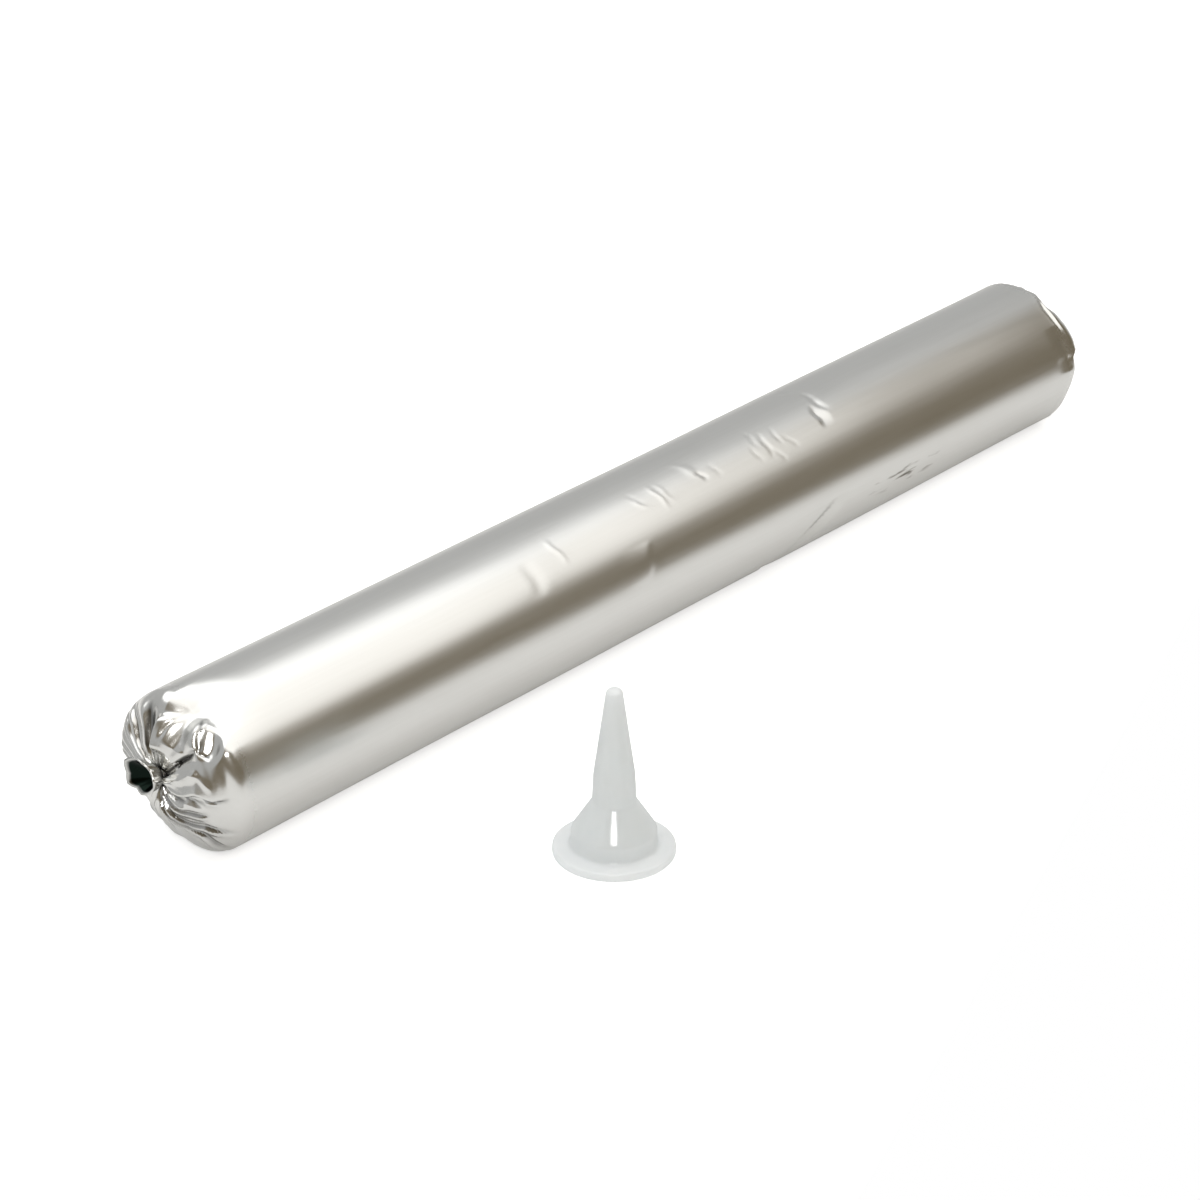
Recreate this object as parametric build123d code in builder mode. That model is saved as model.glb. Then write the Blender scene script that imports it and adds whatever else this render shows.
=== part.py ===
from build123d import *
from math import cos, radians, sin, sqrt, tan
import os

# Foil sausage pack of joint sealant, lying along X on its settled underside, with its loose nozzle
# standing on its flange beside the front half. The origin is the middle of the settled flat.

# Filled sleeve
pack_diameter = 46.0
rim_to_rim = 369.0
settled_width = 14.0
shoulder_radius = 6.0
end_slope = 15.0

# Lap seam of the sleeve, low on the side that faces -Y
seam_thickness = 0.2
seam_start = 228.0
seam_arc = 18.0
seam_root = 0.6

# Neck that the clip grips at each end, and the aluminium clip pressed flat-sided round it
neck_radius = 2.2
neck_spare = 1.1
clip_thickness = 1.8
clip_width = 1.8
clip_edge = 0.5
clip_clearance = 0.05
clip_standoff = 0.3
clip_room = 0.15
clip_arc = 335.0

# Gathered ends, drawn together a little above the sleeve's axis and to its +Y side
gather_rise = 2.1
gather_shift = 1.7
crest_radius = 10.0
crater_depth = 2.6
crater_flare = 2.8

# Pleats of an end, with the turn of each uneven wave in radians from one pleat to the next
pleat_count = 15
pleat_root_inset = 0.4
pleat_width = 5.6
pleat_width_change = 1.9
pleat_width_wave = 2.7
pleat_angle_change = 7.0
pleat_angle_wave = 5.3
pleat_depth = 2.5
pleat_depth_change = 0.7
pleat_depth_wave = 4.1
pleat_clear_height = 4.0
pleat_reach = 1.5
pleat_fade_rise = 0.35
long_pleat_step = 3

# Tail of spare foil beyond the neck, creased into flat folds and flared into an open mouth
tail_length = 4.0
tail_lift = 0.6
tail_lean = 2.2
tail_folds = 7
tail_twist = 14.0
tail_radius = 4.9
tail_foil = 0.5
tail_mouth_depth = 3.2
tail_mouth_root_radius = 1.0

# Moulded nozzle, from its flange up to its closed tip
nozzle_setback = 71.0
nozzle_gap = 45.8
flange_radius = 16.2
flange_thickness = 2.4
flange_edge = 0.5
bell_radius = 11.25
bell_height = 7.4
spout_height = 15.8
spout_radius = 5.85
collar_height = 23.2
collar_radius = 5.45
nozzle_height = 48.1
tip_radius = 2.05
tip_edge = 0.35
nozzle_wall = 1.2
tip_bore_radius = 0.85

pack_radius = pack_diameter / 2
half_length = rim_to_rim / 2
axis_height = sqrt(pack_radius**2 - (settled_width / 2) ** 2)
gather_height = axis_height + gather_rise
pack_axis = Axis((0, 0, axis_height), (1, 0, 0))
gather_axis = Axis((0, gather_shift, gather_height), (1, 0, 0))

# Section of an end, as distance out from its rim and radius from its axis
clip_ring_radius = neck_radius + clip_clearance + clip_thickness / 2
crater_floor_radius = clip_ring_radius + clip_thickness / 2 + clip_room
crater_mouth_radius = crater_floor_radius + crater_flare
pleat_root_radius = crater_floor_radius - pleat_root_inset
shoulder_out = shoulder_radius * cos(radians(end_slope))
shoulder_end_radius = pack_radius - shoulder_radius * (1 - sin(radians(end_slope)))
crest_out = shoulder_out + (shoulder_end_radius - crest_radius) * tan(radians(end_slope))
crater_out = crest_out - crater_depth
clip_out = crater_out + clip_standoff + clip_width / 2
neck_out = clip_out + clip_width / 2 + neck_spare
tail_out = neck_out + tail_length

nozzle_x = nozzle_setback - half_length
nozzle_y = -(pack_radius + nozzle_gap + flange_radius)


def end_plane(end: int, out: float, lean: float = 0.0, lift: float = 0.0) -> Plane:
    """Plane across the gather axis of one end (-1 front, 1 rear), out from the rim and facing outwards."""
    return Plane(
        origin=(end * (half_length + out), gather_shift + lean, gather_height + lift),
        x_dir=(0, 1, 0),
        z_dir=(end, 0, 0),
    )


def pleat_plane(end: int, angle: float) -> Plane:
    """Plane across a pleat's root, with its local Y along +X, measured from the rim."""
    radial = Vector(0, cos(radians(angle)), sin(radians(angle)))
    tangent = Vector(0, -sin(radians(angle)), cos(radians(angle)))
    root = Vector(end * half_length, gather_shift, gather_height) + radial * pleat_root_radius
    return Plane(origin=root, x_dir=tangent, z_dir=radial)


def pleat_end(end: int, angle: float, over_shoulder: bool) -> Vertex:
    """Point where a pleat fades out: just outside the shoulder, or just above its inner edge."""
    out = shoulder_out - pleat_reach if over_shoulder else shoulder_out + pleat_fade_rise
    radius = pack_radius if over_shoulder else shoulder_end_radius
    return Vertex(
        end * (half_length + out),
        radius * cos(radians(angle)),
        axis_height + radius * sin(radians(angle)),
    )


os.makedirs("parts", exist_ok=True)

with BuildPart() as foil_pack:
    # Half of the sleeve with its round shoulder and shallow conical end, turned and mirrored
    with BuildSketch(Plane.XZ):
        with BuildLine():
            top = axis_height + pack_radius
            side = Line((0, top), (half_length, top))
            shoulder = CenterArc((half_length, top - shoulder_radius), shoulder_radius, 90, end_slope - 90)
            crest = (half_length + crest_out, axis_height + crest_radius)
            Polyline(
                shoulder @ 1,
                crest,
                (half_length + crest_out, axis_height),
                (0, axis_height),
                side @ 0,
            )
        make_face()
    revolve(axis=pack_axis)
    mirror(about=Plane.YZ)

    # Underside settled flat on what it lies on
    split(bisect_by=Plane.XY, keep=Keep.TOP)

    # Lap of the lengthwise seam, from rim to rim
    with BuildSketch(Plane.YZ.offset(-half_length)):
        with BuildLine():
            lap = CenterArc((0, axis_height), pack_radius + seam_thickness, seam_start, seam_arc)
            root = CenterArc((0, axis_height), pack_radius - seam_root, seam_start, seam_arc)
            Line(lap @ 0, root @ 0)
            Line(lap @ 1, root @ 1)
        make_face()
    extrude(amount=rim_to_rim)

    for end in (-1, 1):
        # Crater that the gather pulls into the end
        with BuildSketch(end_plane(end, crater_out)):
            Circle(crater_floor_radius)
        with BuildSketch(end_plane(end, crest_out)):
            Circle(crater_mouth_radius)
        loft(mode=Mode.SUBTRACT)

        # Uneven pleats that run from the gather out to the shoulder
        for pleat in range(pleat_count):
            angle = 360 * pleat / pleat_count + pleat_angle_change * sin(pleat_angle_wave * pleat + end)
            half_width = (pleat_width + pleat_width_change * sin(pleat_width_wave * pleat + end)) / 2
            depth = pleat_depth + pleat_depth_change * sin(pleat_depth_wave * pleat + end)
            valley = end * (crest_out - depth)
            rise = end * (crest_out + pleat_clear_height)
            with BuildSketch(pleat_plane(end, angle), mode=Mode.PRIVATE) as groove:
                with BuildLine():
                    Polyline((0, valley), (half_width, rise), (-half_width, rise), close=True)
                make_face()
            tip = pleat_end(end, angle, over_shoulder=pleat % long_pleat_step == 0)
            loft([groove.sketch, tip], ruled=True, mode=Mode.SUBTRACT)

        # Neck that the clip grips, and the tail that leans out from it with an open mouth
        with BuildSketch(end_plane(end, crater_out - crater_depth)):
            Circle(neck_radius)
        extrude(amount=neck_out - crater_out + crater_depth)
        with BuildSketch(end_plane(end, neck_out)):
            RegularPolygon(neck_radius, tail_folds)
        with BuildSketch(end_plane(end, tail_out, tail_lean, tail_lift)):
            RegularPolygon(tail_radius, tail_folds, rotation=tail_twist)
        loft(ruled=True)
        with BuildSketch(end_plane(end, tail_out, tail_lean, tail_lift)):
            RegularPolygon(tail_radius - tail_foil, tail_folds, rotation=tail_twist)
        with BuildSketch(end_plane(end, tail_out - tail_mouth_depth)):
            RegularPolygon(tail_mouth_root_radius, tail_folds)
        loft(ruled=True, mode=Mode.SUBTRACT)
foil_pack.part.label = "foil_pack"
export_step(foil_pack.part, "parts/foil_pack.step")

for clip_name, end in (("front_clip", -1), ("rear_clip", 1)):
    with BuildPart() as clip:
        with BuildSketch(Plane.XZ.offset(-gather_shift)) as section:
            with Locations((end * (half_length + clip_out), gather_height - clip_ring_radius)):
                Rectangle(clip_width, clip_thickness)
            outer_corners = section.vertices().group_by(Axis.Y)[0]
            chamfer(outer_corners, min(clip_edge, 0.3 * clip_width, 0.3 * clip_thickness))
        revolve(axis=gather_axis, revolution_arc=clip_arc)
    clip.part.label = clip_name
    export_step(clip.part, f"parts/{clip_name}.step")

with BuildPart() as nozzle:
    nozzle_plane = Plane(origin=(nozzle_x, nozzle_y, 0), x_dir=(1, 0, 0), z_dir=(0, -1, 0))
    nozzle_axis = Axis((nozzle_x, nozzle_y, 0), (0, 0, 1))

    # Outside: flange, upright bell, cone, spout with its slight collar, and the closed tip
    with BuildSketch(nozzle_plane) as outside:
        with BuildLine():
            Polyline(
                (0, 0),
                (flange_radius, 0),
                (flange_radius, flange_thickness),
                (bell_radius, flange_thickness),
                (bell_radius, bell_height),
                (spout_radius, spout_height),
                (collar_radius, collar_height),
                (tip_radius, nozzle_height),
                (0, nozzle_height),
                close=True,
            )
        make_face()
        tip_corner = outside.vertices().group_by(Axis.Y)[-1].sort_by(Axis.X).last
        chamfer(tip_corner, tip_edge)
        flange_corners = outside.vertices().group_by(Axis.X)[-1]
        chamfer(flange_corners, min(flange_edge, 0.3 * flange_thickness))
    revolve(axis=nozzle_axis)

    # Hollow, open under the flange and closed short of the tip
    with BuildSketch(nozzle_plane):
        with BuildLine():
            Polyline(
                (0, 0),
                (bell_radius - nozzle_wall, 0),
                (bell_radius - nozzle_wall, bell_height - nozzle_wall / 2),
                (collar_radius - nozzle_wall, spout_height - nozzle_wall / 2),
                (collar_radius - nozzle_wall, collar_height),
                (tip_bore_radius, nozzle_height - nozzle_wall),
                (0, nozzle_height - nozzle_wall),
                close=True,
            )
        make_face()
    revolve(axis=nozzle_axis, mode=Mode.SUBTRACT)
nozzle.part.label = "nozzle"
export_step(nozzle.part, "parts/nozzle.step")
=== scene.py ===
"""Looks of a foil sausage pack of joint sealant and its loose nozzle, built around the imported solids."""

import logging
import math
from dataclasses import dataclass, field
from enum import Enum, IntEnum
from typing import Any

import bpy
import numpy as np
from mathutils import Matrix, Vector


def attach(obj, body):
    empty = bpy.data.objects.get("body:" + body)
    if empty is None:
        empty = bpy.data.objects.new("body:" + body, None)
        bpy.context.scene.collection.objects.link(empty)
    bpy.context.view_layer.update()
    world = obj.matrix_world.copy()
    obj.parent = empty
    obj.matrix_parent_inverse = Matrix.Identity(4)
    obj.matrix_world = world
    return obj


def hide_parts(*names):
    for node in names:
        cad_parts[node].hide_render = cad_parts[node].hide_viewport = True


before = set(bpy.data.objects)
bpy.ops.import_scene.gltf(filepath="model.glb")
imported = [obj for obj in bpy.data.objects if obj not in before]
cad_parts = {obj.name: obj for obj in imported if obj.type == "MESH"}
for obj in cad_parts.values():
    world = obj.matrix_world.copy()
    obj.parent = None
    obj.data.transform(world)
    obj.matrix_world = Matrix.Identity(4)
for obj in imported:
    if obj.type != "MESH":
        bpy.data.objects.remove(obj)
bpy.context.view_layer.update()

logging.basicConfig(level=logging.INFO, format="%(name)s: %(message)s")
LOG = logging.getLogger("foil_pack_scene")
MM = 0.001

Pair = tuple[float, float]
Triple = tuple[float, float, float]
Pairs = tuple[Pair, ...]


def linear(colour: str) -> tuple[float, float, float, float]:
    """Turns an sRGB hex colour into linear values.

    Args:
        colour: Six hex digits with a leading #.

    Returns:
        Linear red, green and blue, and a full alpha.
    """
    parts = [int(colour[i : i + 2], 16) / 255 for i in (1, 3, 5)]
    red, green, blue = (c / 12.92 if c <= 0.04045 else ((c + 0.055) / 1.055) ** 2.4 for c in parts)
    return red, green, blue, 1.0


def add_node(
    tree: bpy.types.NodeTree, kind: str, links: dict[Any, Any] | None = None, **settings: Any
) -> bpy.types.Node:
    """Adds a shader node with its settings, socket values and links.

    Args:
        tree: The node tree that takes the node.
        kind: The node's class name, without ShaderNode at its front.
        links: Input name or number to a plain value, an output socket, or a node that gives its first output.
        settings: Properties of the node itself.

    Returns:
        The new node.
    """
    node = tree.nodes.new("ShaderNode" + kind)
    for name, value in settings.items():
        setattr(node, name, value)
    for name, value in (links or {}).items():
        if isinstance(value, bpy.types.Node):
            value = value.outputs[0]
        if isinstance(value, bpy.types.NodeSocket):
            tree.links.new(value, node.inputs[name])
        else:
            node.inputs[name].default_value = value
    return node


def per_mm(size: float) -> float:
    """Noise scale, in cycles per metre, for a feature of that size in millimetres."""
    return 1.0 / (size * MM)


def clear_selection() -> None:
    """Leaves edit mode and deselects everything."""
    if bpy.context.object and bpy.context.object.mode != "OBJECT":
        bpy.ops.object.mode_set(mode="OBJECT")
    bpy.ops.object.select_all(action="DESELECT")


def new_material(name: str) -> tuple[bpy.types.Material, bpy.types.NodeTree]:
    """Makes an empty node material.

    Args:
        name: What the material is called.

    Returns:
        The material and its node tree.
    """
    material = bpy.data.materials.new(name)
    material.use_nodes = True
    material.node_tree.nodes.clear()
    return material, material.node_tree


def direction(azimuth: float, elevation: float) -> Vector:
    """Unit vector to an azimuth, from -Y towards +X, and an elevation, both in degrees."""
    turn, tilt = math.radians(azimuth), math.radians(elevation)
    return Vector((math.sin(turn) * math.cos(tilt), -math.cos(turn) * math.cos(tilt), math.sin(tilt)))


def wrap(degrees: Any) -> Any:
    """Brings degrees to within half a turn of 0."""
    return (degrees + 180) % 360 - 180


def ramp(values: np.ndarray, low: float, high: float) -> np.ndarray:
    """Smooth step from 0 at the low value to 1 at the high one."""
    t = np.clip((values - low) / (high - low), 0, 1)
    return t * t * (3 - 2 * t)


def soften(values: np.ndarray) -> np.ndarray:
    """Blurs a wrapped field of rows and columns by one cell each way."""
    ring = values[:, :-1]
    ring = 0.2 * np.roll(ring, 1, 1) + 0.6 * ring + 0.2 * np.roll(ring, -1, 1)
    tall = np.vstack([ring[:1], ring, ring[-1:]])
    ring = 0.2 * tall[:-2] + 0.6 * tall[1:-1] + 0.2 * tall[2:]
    return np.hstack([ring, ring[:, :1]])


def round_end(angle: np.ndarray, pairs: Pairs) -> np.ndarray:
    """Reads (angle, value) pairs at every angle, straight from one pair to the next and round again."""
    return np.interp(angle, [p[0] for p in pairs], [p[1] for p in pairs], period=360)


class PackEnd(Enum):
    """Which end of the pack, as the sign of its X."""

    FRONT = -1
    REAR = 1


class Zone(IntEnum):
    """Which part of the skin a ring of its mesh belongs to, from the middle outwards."""

    SLEEVE = 0
    END = 1
    NECK = 2
    TAIL = 3
    MOUTH = 4


class FoldKind(Enum):
    """How the foil is bent along a fold."""

    RIDGE = "ridge"
    VALLEY = "valley"
    LAP_UP = "lap raised on the side of larger angle"
    LAP_DOWN = "lap raised on the side of smaller angle"


RIDGE, VALLEY, LAP_UP, LAP_DOWN = FoldKind


@dataclass(frozen=True)
class Fold:
    """A fold of a gathered end.

    Its path is (reach, angle) pairs: reach is 0 at the gather and 1 at the rim, and the angle is in degrees
    round the gather from +Y towards +Z. A fold across the end runs more round the gather than out from it, and
    its angles grow along its path. Its painted shade is how dark the slot along it is painted, from 0 to 1, for the
    shade that falls in it.
    """

    kind: FoldKind
    path: Pairs
    depth: float
    width: float
    gap: float = 0.0
    across: bool = False


@dataclass(frozen=True)
class PleatFan:
    """Narrow pleats side by side, from the gather to one corner of the rim.

    Its teeth are (angle, height) pairs in degrees and millimetres, joined by straight flanks. At the rim the
    fan is drawn together round its middle angle to the given share of its spread.
    """

    middle: float
    rim_share: float
    teeth: Pairs
    reach: Pair = (0.14, 1.04)


@dataclass(frozen=True)
class Blister:
    """A puffed spot on the shoulder, pressed nearly flat.

    Its middle is at an angle and a reach. Half is its half sizes along across and up, which lean by some
    degrees in the plane that it faces out of. Its middle stands out from the shoulder, its edge falls back
    from there by the crown, and small slits cut it. Lengths are in millimetres.
    """

    angle: float
    reach: float
    half: Pair
    lean: float
    across: Triple
    up: Triple
    facing: Triple
    stand: float
    crown: float
    slits: tuple[Fold, ...] = ()


@dataclass(frozen=True)
class EndShape:
    """How one end is gathered.

    Fullness and setback are (angle, value) pairs round the gather: fullness is 1 where the shoulder is round
    and full and 0 where the foil runs straight from the rim to the gather, and the setback is how far the
    rim is drawn in along the pack, in millimetres. Domed is the share, by angle, of a soft slope from the
    sleeve down to the gather, and crumpled the share of small flat facets. Plain pleats run long between the
    two pleated angles.
    """

    end: PackEnd
    fullness: Pairs
    setback: Pairs
    domed: Pairs
    crumpled: Pairs
    folds: tuple[Fold, ...]
    fans: tuple[PleatFan, ...]
    pleated: Pair
    seed: int
    blisters: tuple[Blister, ...] = ()


@dataclass(frozen=True)
class Crease:
    """A crosswise buckle of the sleeve, from one (x, degrees up from -Y) to another.

    A positive depth stands out. The flanks are its widths towards the front and the rear. Its painted shade is
    how dark its front flank is painted, from 0 to 1, for the shade that falls on it.
    """

    start: Pair
    end: Pair
    depth: float
    front_flank: float
    rear_flank: float
    gap: float = 0.0


@dataclass
class SkinGrid:
    """The skin's mesh as fields of rings by columns.

    Ring holds the values that FoilPack.rows lists for each ring. Turn is each column's angle round the pack's
    axis, in radians. Ray, span and angle are its way from the gather to the rim: a unit vector across the
    pack, a distance in millimetres, and degrees from +Y towards +Z.
    """

    ring: dict[str, np.ndarray]
    turn: np.ndarray
    ray: np.ndarray
    span: np.ndarray
    angle: np.ndarray


@dataclass(frozen=True)
class FoilLaminate:
    """Aluminium laminate film, rolled and coated: satin along the filled sleeve, brighter where it is folded hard."""

    name: str = "aluminium_laminate_film"
    colour: str = "#d3d3d1"
    streak_colour: str = "#cbcbc8"
    mouth_colour: str = "#121a16"
    # Colour painted for the shade in slots of folds and in hollows
    painted_shade_colour: str = "#1c1b19"
    scuff_colour: str = "#6a665e"
    satin: float = 0.28
    folded: float = 0.15
    # Rolling streaks: their width, how far the pattern is drawn out along the pack, and the roughness they add
    streak_mm: float = 1.1
    streak_scale: float = 0.035
    streak_roughness: float = 0.06
    # The coating's grain is finer than the picture shows, so it is drawn this coarse
    grain_mm: float = 0.55
    grain_height_mm: float = 0.05
    grain_strength: float = 0.06
    # Rub marks: their width, how far they are drawn out, how dense they are, and their patch in metres
    scuff_mm: float = 1.3
    scuff_scale: float = 0.16
    scuff_limits: Pair = (0.56, 0.66)
    scuff_place: Triple = (0.093, -0.0222, 0.0165)
    scuff_half: Triple = (0.021, 0.004, 0.0042)

    def material(self) -> bpy.types.Material:
        """Builds the film's node material."""
        material, tree = new_material(self.name)
        place = add_node(tree, "TexCoord").outputs["Object"]
        along = add_node(tree, "Mapping", {"Vector": place, "Scale": (self.streak_scale, 1.0, 1.0)})
        streaks = add_node(
            tree, "TexNoise", {"Vector": along, "Scale": per_mm(self.streak_mm), "Detail": 3.0, "Roughness": 0.6}
        )
        grain = add_node(tree, "TexNoise", {"Vector": place, "Scale": per_mm(self.grain_mm), "Detail": 2.0})
        folds, mouth, gap = (
            add_node(tree, "Attribute", attribute_name=name).outputs["Fac"] for name in ("folded", "mouth", "gap")
        )
        # Dark rub marks low on one side of the rear half, short dashes along the pack
        drawn = add_node(tree, "Mapping", {"Vector": place, "Scale": (self.scuff_scale, 1.0, 1.0)})
        dash = add_node(tree, "TexNoise", {"Vector": drawn, "Scale": per_mm(self.scuff_mm), "Detail": 4.0})
        low, high = self.scuff_limits
        cut = add_node(tree, "MapRange", {"Value": dash, "From Min": low, "From Max": high})
        off = add_node(tree, "VectorMath", {0: place, 1: self.scuff_place}, operation="SUBTRACT")
        off = add_node(tree, "VectorMath", {0: off, 1: self.scuff_half}, operation="DIVIDE")
        off = add_node(tree, "VectorMath", {0: off}, operation="LENGTH").outputs["Value"]
        near = add_node(tree, "MapRange", {"Value": off, "From Min": 1.0, "From Max": 0.4})
        scuff = add_node(tree, "Math", {0: cut, 1: near}, operation="MULTIPLY")
        tone = add_node(
            tree, "Mix", {"Factor": streaks, 6: linear(self.streak_colour), 7: linear(self.colour)}, data_type="RGBA"
        ).outputs[2]
        # Rub marks, then painted shade in the slots of folds and creases and in the hollows round the clips, then the
        # dark inside of the tails' mouths
        for share, colour in ((scuff, self.scuff_colour), (gap, self.painted_shade_colour), (mouth, self.mouth_colour)):
            tone = add_node(tree, "Mix", {"Factor": share, 6: tone, 7: linear(colour)}, data_type="RGBA").outputs[2]
        # Hard folds stretch the coating smooth, so they mirror the room more sharply
        rough = add_node(tree, "MapRange", {"Value": folds, "To Min": self.satin, "To Max": self.folded})
        rough = add_node(tree, "Math", {0: streaks, 1: self.streak_roughness, 2: rough}, operation="MULTIPLY_ADD")
        bump = add_node(
            tree,
            "Bump",
            {"Height": grain, "Strength": self.grain_strength, "Distance": self.grain_height_mm * MM},
        )
        shader = add_node(
            tree, "BsdfPrincipled", {"Base Color": tone, "Metallic": 1.0, "Roughness": rough, "Normal": bump}
        )
        add_node(tree, "OutputMaterial", {"Surface": shader})
        return material


@dataclass(frozen=True)
class ClipAluminium:
    """Drawn aluminium wire, pressed in a die: dull, with fine marks round the wire."""

    name: str = "drawn_aluminium"
    colour: str = "#c6c6c8"
    marked_colour: str = "#a9a9ab"
    roughness: float = 0.34
    mark_mm: float = 0.25
    mark_height_mm: float = 0.03
    mark_strength: float = 0.2

    def material(self) -> bpy.types.Material:
        """Builds the wire's node material."""
        material, tree = new_material(self.name)
        place = add_node(tree, "TexCoord").outputs["Object"]
        marks = add_node(tree, "TexNoise", {"Vector": place, "Scale": per_mm(self.mark_mm), "Detail": 2.0})
        tone = add_node(
            tree, "Mix", {"Factor": marks, 6: linear(self.marked_colour), 7: linear(self.colour)}, data_type="RGBA"
        ).outputs[2]
        bump = add_node(
            tree, "Bump", {"Height": marks, "Strength": self.mark_strength, "Distance": self.mark_height_mm * MM}
        )
        shader = add_node(
            tree,
            "BsdfPrincipled",
            {"Base Color": tone, "Metallic": 1.0, "Roughness": self.roughness, "Normal": bump},
        )
        add_node(tree, "OutputMaterial", {"Surface": shader})
        return material


@dataclass(frozen=True)
class NozzlePolyethylene:
    """Natural low-density polyethylene, injection moulded: milky, waxy, light passes a few millimetres through it."""

    name: str = "natural_polyethylene"
    colour: str = "#f6f7f7"
    cloud_colour: str = "#eff2f3"
    gloss_colour: str = "#ffffff"
    roughness: float = 0.11
    cloud_mm: float = 6.0
    texture_mm: float = 0.5
    texture_height_mm: float = 0.04
    texture_strength: float = 0.08
    depth_mm: float = 6.0
    scatter: float = 0.6
    through: float = 0.72
    shine: float = 0.045

    def material(self) -> bpy.types.Material:
        """Builds the plastic's node material."""
        material, tree = new_material(self.name)
        place = add_node(tree, "TexCoord").outputs["Object"]
        cloud = add_node(tree, "TexNoise", {"Vector": place, "Scale": per_mm(self.cloud_mm), "Detail": 2.0})
        tone = add_node(
            tree, "Mix", {"Factor": cloud, 6: linear(self.cloud_colour), 7: linear(self.colour)}, data_type="RGBA"
        ).outputs[2]
        texture = add_node(tree, "TexNoise", {"Vector": place, "Scale": per_mm(self.texture_mm), "Detail": 2.0})
        bump = add_node(
            tree,
            "Bump",
            {"Height": texture, "Strength": self.texture_strength, "Distance": self.texture_height_mm * MM},
        )
        milk = add_node(
            tree,
            "BsdfPrincipled",
            {
                "Base Color": tone,
                "Roughness": self.roughness,
                "Specular IOR Level": 0.0,
                "Subsurface Weight": self.scatter,
                "Subsurface Radius": (1.0, 1.0, 1.0),
                "Subsurface Scale": self.depth_mm * MM,
                "Normal": bump,
            },
        )
        # Thin walls pass part of the light on, so the side away from the lamps is almost as pale
        passed = add_node(tree, "BsdfTranslucent", {"Color": tone})
        wall = add_node(tree, "MixShader", {0: self.through, 1: milk, 2: passed})
        # Smooth moulded skin, which mirrors a lamp as a narrow streak
        gloss = add_node(
            tree,
            "BsdfPrincipled",
            {"Base Color": linear(self.gloss_colour), "Metallic": 1.0, "Roughness": self.roughness, "Normal": bump},
        )
        whole = add_node(tree, "MixShader", {0: self.shine, 1: wall, 2: gloss})
        add_node(tree, "OutputMaterial", {"Surface": whole})
        return material


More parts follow.
